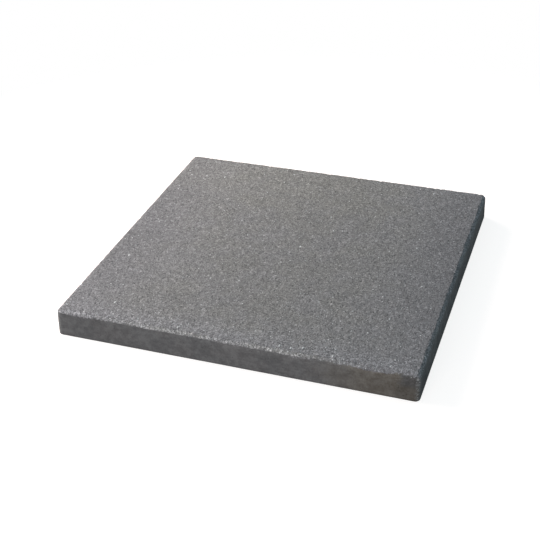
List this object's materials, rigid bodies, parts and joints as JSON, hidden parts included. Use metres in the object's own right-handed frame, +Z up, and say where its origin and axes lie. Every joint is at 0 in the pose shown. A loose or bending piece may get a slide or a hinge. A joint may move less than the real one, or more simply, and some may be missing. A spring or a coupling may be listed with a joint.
{
  "type": "concrete paver",
  "caption": "Square slab of grey cast concrete with a blasted, granular walking face and a small chamfer round it, for paving terraces and paths.",
  "frame": {"origin": "centre of the bed, the flat underside that the paver lies on", "axes": "+X along the front edge to the right, +Y from the front edge to the back edge, +Z up through the walking face"},
  "size_m": [0.4998, 0.4998, 0.04],
  "materials": {
    "concrete": "grey cast concrete: granular shot-blasted walking face with pale grains, smoother and darker cast skin on the walls"
  },
  "bodies": {
    "root": {"paver": "concrete"}
  },
  "joints": []
}
